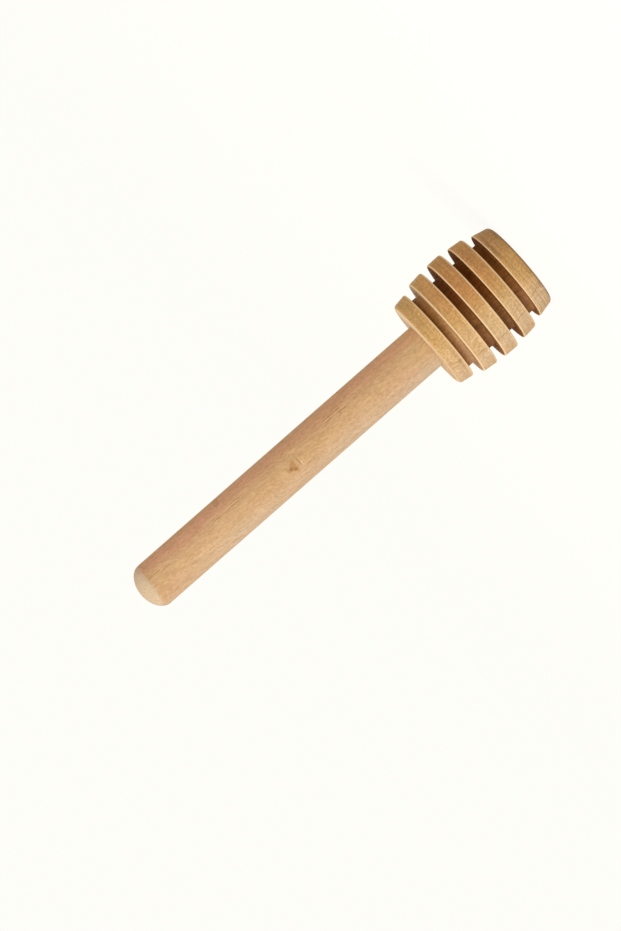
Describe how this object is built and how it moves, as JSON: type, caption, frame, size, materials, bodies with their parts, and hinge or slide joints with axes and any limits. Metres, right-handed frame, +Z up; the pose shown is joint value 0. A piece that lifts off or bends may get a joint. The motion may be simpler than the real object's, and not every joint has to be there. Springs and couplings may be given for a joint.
{
  "type": "honey dipper",
  "caption": "Small wooden honey dipper: a barrel-shaped head with square grooves turned round it to hold honey, glued on a straight round handle with a domed end.",
  "frame": {"origin": "middle of the flat tip face, which the dipper stands on", "axes": "+Z up the dipper's own axis, from the tip to the handle's domed end; X and Y are alike on a round object"},
  "size_m": [0.019, 0.019, 0.08],
  "materials": {
    "head_wood": "sanded, lightly oiled",
    "handle_wood": "sanded, lightly oiled",
    "cured_glue": "dull"
  },
  "bodies": {
    "root": {"dipper_head": "head_wood", "handle_dowel": "handle_wood", "glue_film": "cured_glue"}
  },
  "joints": []
}
